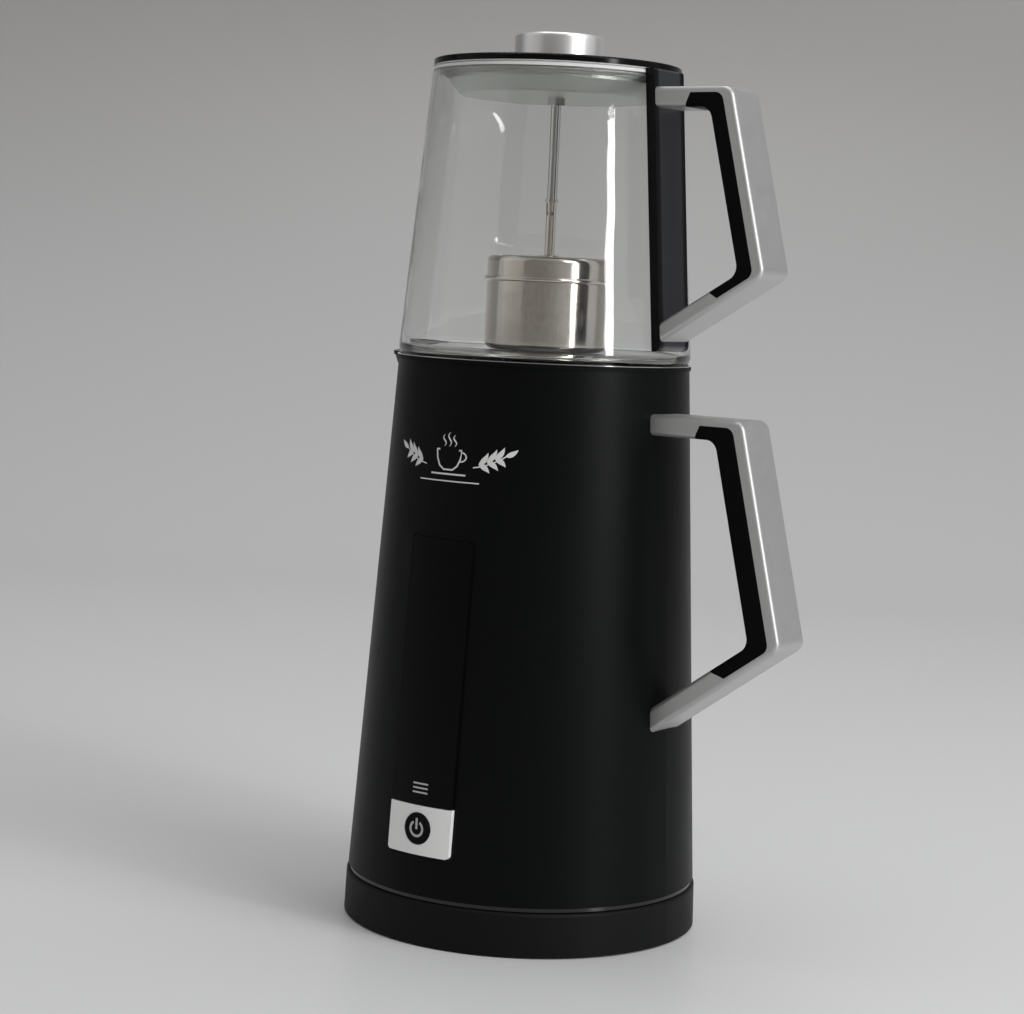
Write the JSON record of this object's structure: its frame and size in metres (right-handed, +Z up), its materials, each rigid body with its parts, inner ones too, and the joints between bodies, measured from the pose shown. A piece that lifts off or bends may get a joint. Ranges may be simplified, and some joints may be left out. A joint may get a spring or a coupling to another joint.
{
  "type": "automatic tea maker",
  "caption": "Tea maker: a cordless electric kettle on a round power base carries a glass teapot with a lidded perforated infuser on a rod, warmed by the steam.",
  "frame": {"origin": "on the common vertical axis, in the plane of the feet's undersides, where the tea maker stands", "axes": "+Z up along the common axis, +X towards the handles, -Y towards the control panel; the spouts point to -X"},
  "size_m": [0.237, 0.271, 0.3726],
  "materials": {
    "black_matte_plastic": "matte moulded black",
    "black_shell": "matte black",
    "black_grip": "fine satin black",
    "black_gloss": "glossy black",
    "white_gloss": "glossy white",
    "white_plastic": "matte white",
    "feet_rubber": "matte rubber",
    "cord_sheath": "satin cord sheath",
    "wire_insulation": "coloured wire insulation",
    "silicone": "grey silicone",
    "satin_steel": "satin silver",
    "polished_steel": "mirror polished",
    "screw_steel": "zinc plated",
    "contact_brass": "plain brass",
    "heater_aluminium": "cast and wire-brushed",
    "ceramic_body": "unglazed",
    "board": "green circuit board",
    "clear_glass": "clear blown glass"
  },
  "bodies": {
    "power_base": {"base_housing": "black_matte_plastic", "base_bottom_cover": "black_matte_plastic", "base_feet": "feet_rubber", "base_screws": "screw_steel", "base_connector": "black_matte_plastic", "base_contacts": "contact_brass", "base_wires": "wire_insulation", "cord_strain_relief": "feet_rubber", "mains_cord": "cord_sheath", "cord_coil": "cord_sheath", "plug_body": "cord_sheath", "plug_pins": "contact_brass"},
    "kettle_carriage": {"kettle_contacts": "contact_brass"},
    "kettle": {"kettle_bottom_cover": "black_matte_plastic", "kettle_trim_ring": "black_gloss", "kettle_shell": "black_shell", "kettle_tank": "satin_steel", "kettle_rim": "polished_steel", "kettle_bottom_screws": "screw_steel", "heating_plate": "heater_aluminium", "heating_element": "heater_aluminium", "thermostat": "ceramic_body", "thermal_fuse": "ceramic_body", "temperature_sensor": "ceramic_body", "kettle_connector": "black_matte_plastic", "kettle_terminals": "contact_brass", "kettle_wires": "wire_insulation", "control_board": "board", "push_switch": "black_matte_plastic", "relay": "black_gloss", "panel_frame": "black_matte_plastic", "panel_cover": "black_gloss", "button_plate": "white_gloss", "kettle_handle_frame": "satin_steel", "kettle_handle_grip": "black_grip", "kettle_handle_screws": "screw_steel"},
    "button": {"power_button": "black_gloss", "switch_plunger": "white_plastic"},
    "teapot": {"teapot_glass": "clear_glass", "handle_strip": "black_grip", "teapot_handle_frame": "satin_steel", "teapot_handle_grip": "black_grip", "teapot_handle_screws": "screw_steel"},
    "lid": {"lid_disc": "black_gloss", "lid_gasket": "silicone", "lid_inner_cup": "satin_steel", "lid_knob": "satin_steel", "lid_rod": "polished_steel", "rod_nut": "polished_steel", "bayonet_pin": "polished_steel"},
    "infuser": {"infuser_tube": "polished_steel", "infuser_cap": "polished_steel"},
    "basket": {"infuser_basket": "polished_steel"}
  },
  "joints": [
    {"name": "kettle_lift", "type": "slide", "parent": "power_base", "child": "kettle_carriage", "axis": [0, 0, 1], "range_m": [0, 0.06]},
    {"name": "kettle_turn", "type": "hinge", "parent": "kettle_carriage", "child": "kettle", "pos_m": [0, 0, 0.0188], "axis": [0, 0, 1], "continuous": true},
    {"name": "power_button_press", "type": "slide", "parent": "kettle", "child": "button", "axis": [0, 1, 0], "range_m": [0, 0.0008], "stiffness_N_per_m": 1500},
    {"name": "teapot_lift", "type": "slide", "parent": "kettle", "child": "teapot", "axis": [0, 0, 1], "range_m": [0, 0.06]},
    {"name": "lid_lift", "type": "slide", "parent": "teapot", "child": "lid", "axis": [0, 0, 1], "range_m": [0, 0.13]},
    {"name": "infuser_release", "type": "hinge", "parent": "lid", "child": "infuser", "pos_m": [0, 0, 0.2988], "axis": [0, 0, 1], "range_deg": [0, 60]},
    {"name": "basket_twist", "type": "hinge", "parent": "infuser", "child": "basket", "pos_m": [0, 0, 0.27], "axis": [0, 0, 1], "range_deg": [0, 30]}
  ]
}
